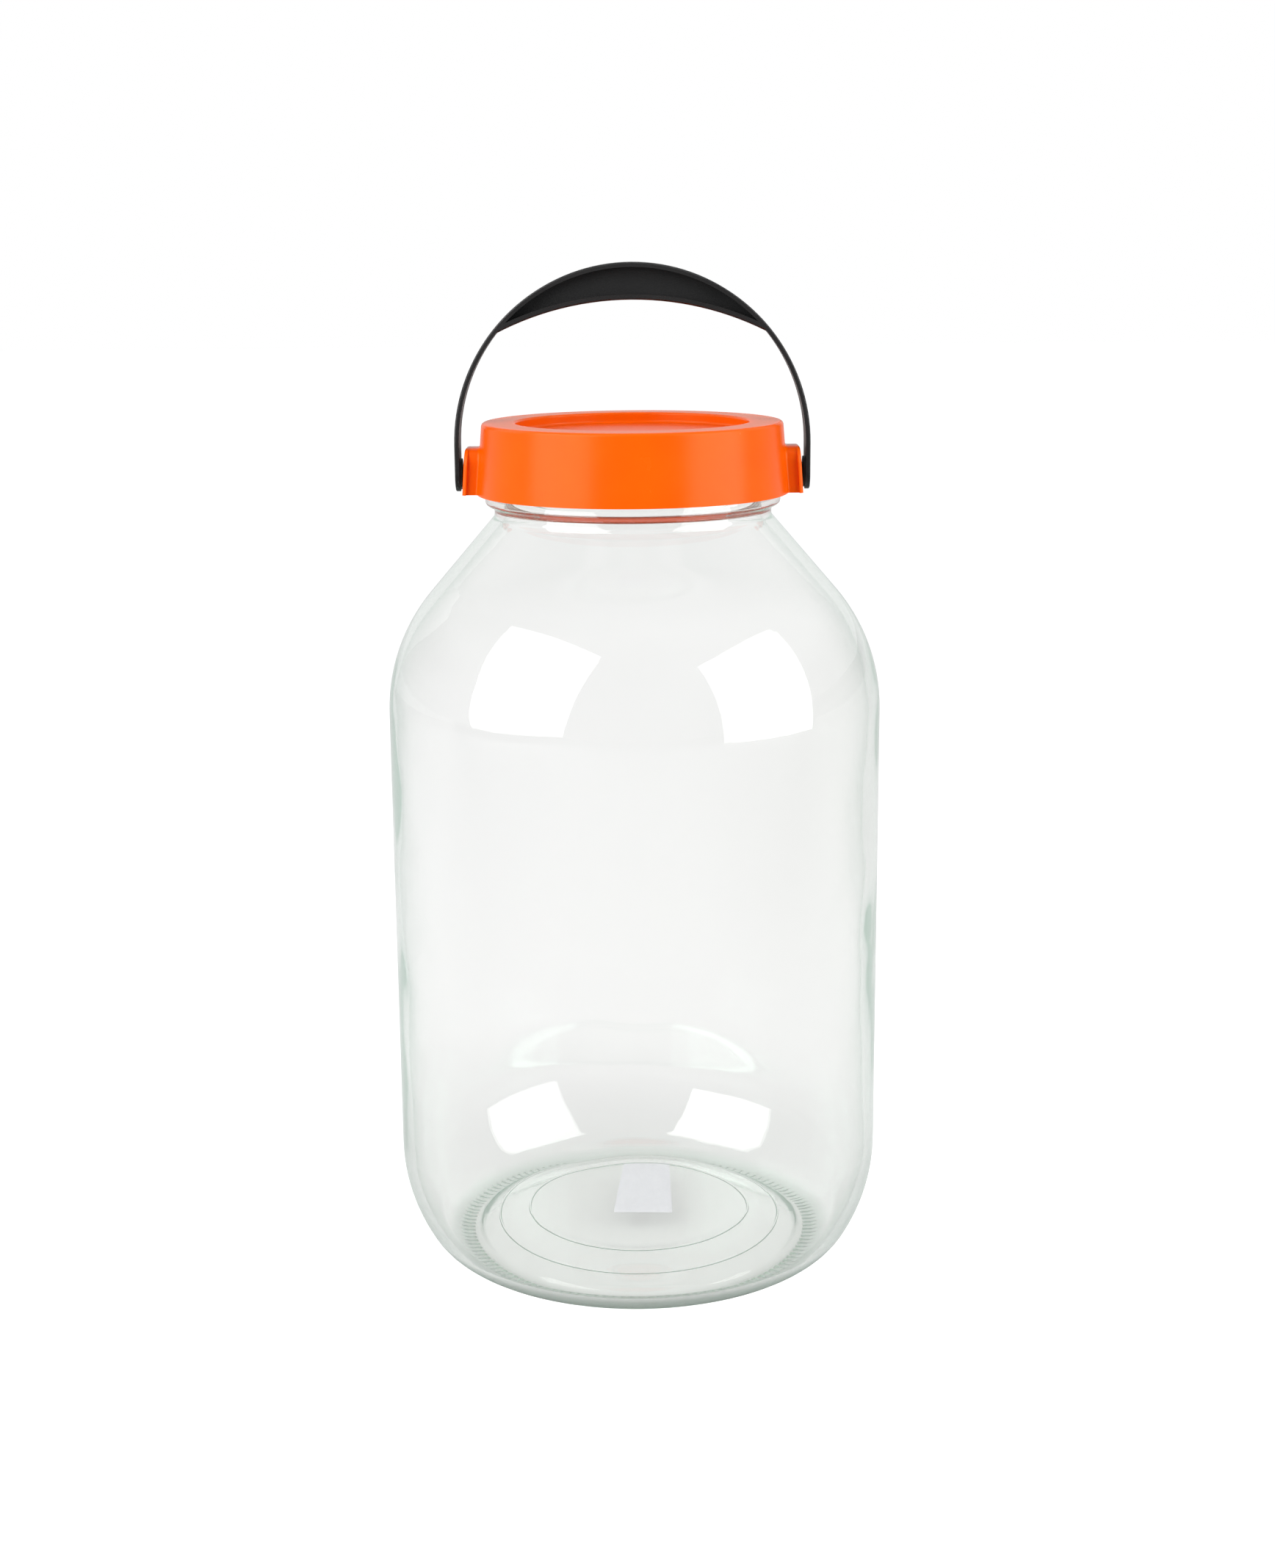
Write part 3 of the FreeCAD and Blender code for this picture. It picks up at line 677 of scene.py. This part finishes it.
def makePlastic(name, look):
    material, surface, output = newMaterial(name)
    tree = material.node_tree
    nodes, links = tree.nodes, tree.links
    grain = nodes.new("ShaderNodeGroup")
    grain.node_tree = grainGroup
    grain.inputs["Size"].default_value = look["grainSize"]
    tone = blend(tree, "RGBA", grain.outputs["Tone"], look["deepColour"], look["colour"])
    links.new(tone, surface.inputs["Base Color"])
    surface.inputs["Specular IOR Level"].default_value = look["shine"]
    surface.inputs["Specular Tint"].default_value = look["shineTint"]
    gloss = ramp(tree, grain.outputs["Tone"], 0.0, 1.0, look["roughLow"], look["roughHigh"], "LINEAR")
    links.new(gloss, surface.inputs["Roughness"])
    addBump(tree, surface, grain.outputs["Height"], look["grainDepth"])
    if look["letsThrough"] > 0:
        through = nodes.new("ShaderNodeBsdfTranslucent")
        links.new(tone, through.inputs["Color"])
        wall = mixShaders(tree, look["letsThrough"], surface.outputs["BSDF"], through.outputs["BSDF"])
        links.new(wall, output.inputs["Surface"])
    return material


paperLook = {
    "colour": shade(222, 217, 227),
    "fibreColour": shade(200, 195, 206),
    "roughness": 0.85,
    "fibreScale": 900.0,
    "fibreDetail": 5.0,
    "fibreStretch": (1.0, 0.35, 1.0),   # fibres lie along the label
    "fibreDepth": 0.00003,
}


def makePaper():
    material, surface = newMaterial("labelPaper")[:2]
    tree = material.node_tree
    surface.inputs["Roughness"].default_value = paperLook["roughness"]
    stretch = tree.nodes.new("ShaderNodeMapping")
    stretch.inputs["Scale"].default_value = paperLook["fibreStretch"]
    tree.links.new(objectPlace(tree), stretch.inputs["Vector"])
    fibre = addNoise(tree, stretch.outputs["Vector"], paperLook["fibreScale"], paperLook["fibreDetail"])
    colour = blend(tree, "RGBA", fibre, paperLook["fibreColour"], paperLook["colour"])
    tree.links.new(colour, surface.inputs["Base Color"])
    addBump(tree, surface, fibre, paperLook["fibreDepth"])
    return material


foamLook = {
    "colour": shade(236, 233, 224),
    "poreColour": shade(205, 201, 190),
    "roughness": 0.75,
    "poreScale": 1400.0,
    "poreDepth": 0.00006,
}


def makeFoam():
    material, surface = newMaterial("sealFoam")[:2]
    tree = material.node_tree
    surface.inputs["Roughness"].default_value = foamLook["roughness"]
    pores = tree.nodes.new("ShaderNodeTexVoronoi")
    pores.inputs["Scale"].default_value = foamLook["poreScale"]
    tree.links.new(objectPlace(tree), pores.inputs["Vector"])
    pore = pores.outputs["Distance"]
    colour = blend(tree, "RGBA", pore, foamLook["poreColour"], foamLook["colour"])
    tree.links.new(colour, surface.inputs["Base Color"])
    addBump(tree, surface, pore, foamLook["poreDepth"])
    return material


def dress(node, material):
    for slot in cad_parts[node].material_slots:
        slot.material = material


glass = makeGlass()
lidPlastic = makePlastic("orangePlastic", lidLook)
jar.data.materials.clear()
jar.data.materials.append(glass)
for rib in lidRibs:
    rib.data.materials.append(lidPlastic)
dress("screw_lid", lidPlastic)
dress("carry_handle", makePlastic("blackPlastic", handleLook))
label.data.materials.append(makePaper())
dress("sealing_ring", makeFoam())
print("materials set")


floorLook = {
    "size": 14.0,
    "colour": (0.36, 0.36, 0.36, 1.0),
    "inGloss": (0.16, 0.16, 0.16, 1.0),   # its colour as shiny things mirror it
    # what it adds by itself, so that it is white out of the shadow
    "glow": 0.80,            # for the camera
    "glowInJarShadow": 0.365,   # behind glass, close under the jar, lowered as a painted shadow of the jar
    "glowThroughGlass": 0.572,   # behind glass, round it
    "glowFarMore": 0.09,     # and so much more far away
    "glowBehind": 0.70,      # in gloss, behind the jar
    # distances from the jar's axis
    "underJar": 0.08,
    "roundJar": 0.25,
    "far": 1.5,
    # in gloss it is dark on the camera's side, and bright from here on back
    "glossFrom": -0.25,
    "glossTo": 0.15,
    # behind glass it is darker far to the left and right, by how far aside it is for its distance
    "sideReach": 0.3,
    "sideFrom": 0.3,
    "sideTo": 0.7,
    "sideLevel": 0.70,
    # painted shade: the floor's glow is darkened along the narrow gap between the heel and the floor, most
    # in front
    "gapRadius": 0.066,
    "gapCore": 0.002,
    "gapReach": 0.011,
    "gapFront": -0.055,
    "gapBack": 0.03,
    "gapLightFront": 0.05,
    "gapLightBack": 0.80,
}


def throughGlass(tree, path):
    # 1 for rays that glass has passed on, also those that it let out after a few turns
    letOut = calculate(tree, "GREATER_THAN", path.outputs["Transparent Depth"], onceOrMore)
    return calculate(tree, "MAXIMUM", path.outputs["Is Transmission Ray"], letOut)


def darkerSides(tree, across, near, far, least):
    # 1 in the middle, less far to the left and right
    return ramp(tree, calculate(tree, "ABSOLUTE", across), near, far, 1.0, least)


def makeFloor():
    deselectAll()
    bpy.ops.mesh.primitive_plane_add(size=floorLook["size"], location=(0, 0, 0))
    floor = bpy.context.object
    floor.name = "studioFloor"
    material = bpy.data.materials.new("paleFloor")
    material.use_nodes = True
    tree = material.node_tree
    nodes, links = tree.nodes, tree.links
    nodes.clear()
    output = nodes.new("ShaderNodeOutputMaterial")
    path = nodes.new("ShaderNodeLightPath")
    passedOn = throughGlass(tree, path)
    reflected = calculate(tree, "SUBTRACT", path.outputs["Is Glossy Ray"], passedOn)
    reflected.node.use_clamp = True
    matt = nodes.new("ShaderNodeBsdfDiffuse")
    colour = blend(tree, "RGBA", reflected, floorLook["colour"], floorLook["inGloss"])
    links.new(colour, matt.inputs["Color"])

    place = objectPlace(tree)
    parts = splitPlace(tree, place)
    away = lengthOf(tree, place)
    # painted shadow: behind glass, the floor glows less close under the jar
    through = ramp(tree, away, floorLook["underJar"], floorLook["roundJar"],
                   floorLook["glowInJarShadow"], floorLook["glowThroughGlass"])
    farther = ramp(tree, away, floorLook["roundJar"], floorLook["far"],
                   0.0, floorLook["glowFarMore"], "LINEAR")
    wide = calculate(tree, "ADD", through, farther)
    reach = calculate(tree, "ADD", away, floorLook["sideReach"])
    sides = darkerSides(tree, calculate(tree, "DIVIDE", parts["X"], reach),
                        floorLook["sideFrom"], floorLook["sideTo"], floorLook["sideLevel"])
    dimmed = calculate(tree, "MULTIPLY", wide, sides)

    # painted contact shade in a ring round the heel, stronger in front, for glass and gloss alike
    beside = calculate(tree, "ABSOLUTE", calculate(tree, "SUBTRACT", away, floorLook["gapRadius"]))
    gapLight = ramp(tree, parts["Y"], floorLook["gapFront"], floorLook["gapBack"],
                    floorLook["gapLightFront"], floorLook["gapLightBack"], "LINEAR")
    gap = ramp(tree, beside, floorLook["gapCore"], floorLook["gapReach"], gapLight, 1.0)
    underGlass = calculate(tree, "MULTIPLY", dimmed, gap)

    back = ramp(tree, parts["Y"], floorLook["glossFrom"], floorLook["glossTo"],
                0.0, floorLook["glowBehind"])
    inGloss = calculate(tree, "MULTIPLY", calculate(tree, "MULTIPLY", back, gap), reflected)
    indirect = blend(tree, "FLOAT", passedOn, inGloss, underGlass)
    glow = nodes.new("ShaderNodeEmission")
    links.new(blend(tree, "FLOAT", path.outputs["Is Camera Ray"], indirect, floorLook["glow"]),
              glow.inputs["Strength"])
    add = nodes.new("ShaderNodeAddShader")
    links.new(matt.outputs["BSDF"], add.inputs[0])
    links.new(glow.outputs["Emission"], add.inputs[1])
    links.new(add.outputs["Shader"], output.inputs["Surface"])
    floor.data.materials.append(material)


roomLook = {
    # a height, a side or a depth is a part of a direction, from -1 to 1
    "lightFront": 0.49,      # light from all round, more of it from behind, where no lamp stands
    "lightBack": 0.81,
    "level": 0.95,           # how bright the room looks in reflections
    "levelAbove": 0.80,      # and overhead
    "aboveFrom": 0.50,
    "aboveTo": 0.90,
    "frontShare": 0.15,      # share of that brightness left on the camera's side
    "frontFrom": -0.85,
    "frontTo": -0.25,
    "sideFrom": 0.35,
    "sideTo": 0.8,
    "sideInGlass": 0.95,     # share of the light left far to the sides, in glass
    "sideInGloss": 0.60,     # and in what shines
    "sidesClearFrom": 0.25,  # height at which what shines starts to keep the light of the sides
    "sidesClearTo": 0.50,
}


def makeWorld():
    world = bpy.data.worlds.new("whiteStudio")
    bpy.context.scene.world = world
    world.use_nodes = True
    tree = world.node_tree
    nodes, links = tree.nodes, tree.links
    nodes.clear()
    output = nodes.new("ShaderNodeOutputWorld")
    path = nodes.new("ShaderNodeLightPath")
    direction = nodes.new("ShaderNodeTexCoord")
    parts = splitPlace(tree, direction.outputs["Generated"])

    light = nodes.new("ShaderNodeBackground")
    light.inputs["Color"].default_value = white
    links.new(ramp(tree, parts["Y"], -1.0, 1.0, roomLook["lightFront"], roomLook["lightBack"], "LINEAR"),
              light.inputs["Strength"])

    # what shines mirrors a room that is darker than the backdrop, and darkest overhead
    fall = ramp(tree, parts["Z"], roomLook["aboveFrom"], roomLook["aboveTo"],
                roomLook["level"], roomLook["levelAbove"])
    front = ramp(tree, parts["Y"], roomLook["frontFrom"], roomLook["frontTo"], roomLook["frontShare"], 1.0)
    room = calculate(tree, "MULTIPLY", fall, front)
    glossSides = darkerSides(tree, parts["X"], roomLook["sideFrom"], roomLook["sideTo"],
                             roomLook["sideInGloss"])
    lifted = ramp(tree, parts["Z"], roomLook["sidesClearFrom"], roomLook["sidesClearTo"])
    dimRoom = calculate(tree, "MULTIPLY", room, blend(tree, "FLOAT", lifted, glossSides, 1.0))

    # the camera sees plain white, and through glass nearly so
    glassSides = darkerSides(tree, parts["X"], roomLook["sideFrom"], roomLook["sideTo"],
                             roomLook["sideInGlass"])
    passedOn = calculate(tree, "MULTIPLY", throughGlass(tree, path), glassSides)
    straight = calculate(tree, "MAXIMUM", path.outputs["Is Camera Ray"], passedOn)
    backdrop = nodes.new("ShaderNodeBackground")
    backdrop.inputs["Color"].default_value = white
    links.new(calculate(tree, "MAXIMUM", dimRoom, straight), backdrop.inputs["Strength"])

    # the backdrop is for the camera, gloss and glass; all else gets the light
    seen = calculate(tree, "MAXIMUM", path.outputs["Is Camera Ray"], path.outputs["Is Glossy Ray"])
    seen = calculate(tree, "MAXIMUM", seen, path.outputs["Is Transmission Ray"])
    links.new(mixShaders(tree, seen, light.outputs["Background"], backdrop.outputs["Background"]),
              output.inputs["Surface"])


lampAim = 0.16               # height that the lamps point at

lampSettings = {
    # direction in degrees from the camera's side, height in degrees, distance, width, height, power
    "leftBox": (-54.3, 27.0, 1.7, 1.56, 1.70, 32.5),
    "rightBox": (65.0, 19.5, 1.7, 1.47, 1.55, 25.5),
}


def makeLamp(name, settings):
    turn, height, distance, wide, tall, power = settings
    across = math.radians(turn)
    up = math.radians(height)
    level = distance * math.cos(up)
    place = (level * math.sin(across), -level * math.cos(across), lampAim + distance * math.sin(up))
    deselectAll()
    bpy.ops.object.light_add(type="AREA", location=place)
    lamp = bpy.context.object
    lamp.name = name
    lamp.rotation_euler = (math.radians(90) - up, 0, across)
    lamp.data.shape = "RECTANGLE"
    lamp.data.size = wide
    lamp.data.size_y = tall
    lamp.data.energy = power


makeFloor()
makeWorld()
for lampName, values in lampSettings.items():
    makeLamp(lampName, values)
bpy.context.scene.view_settings.view_transform = "Standard"
print("studio set")
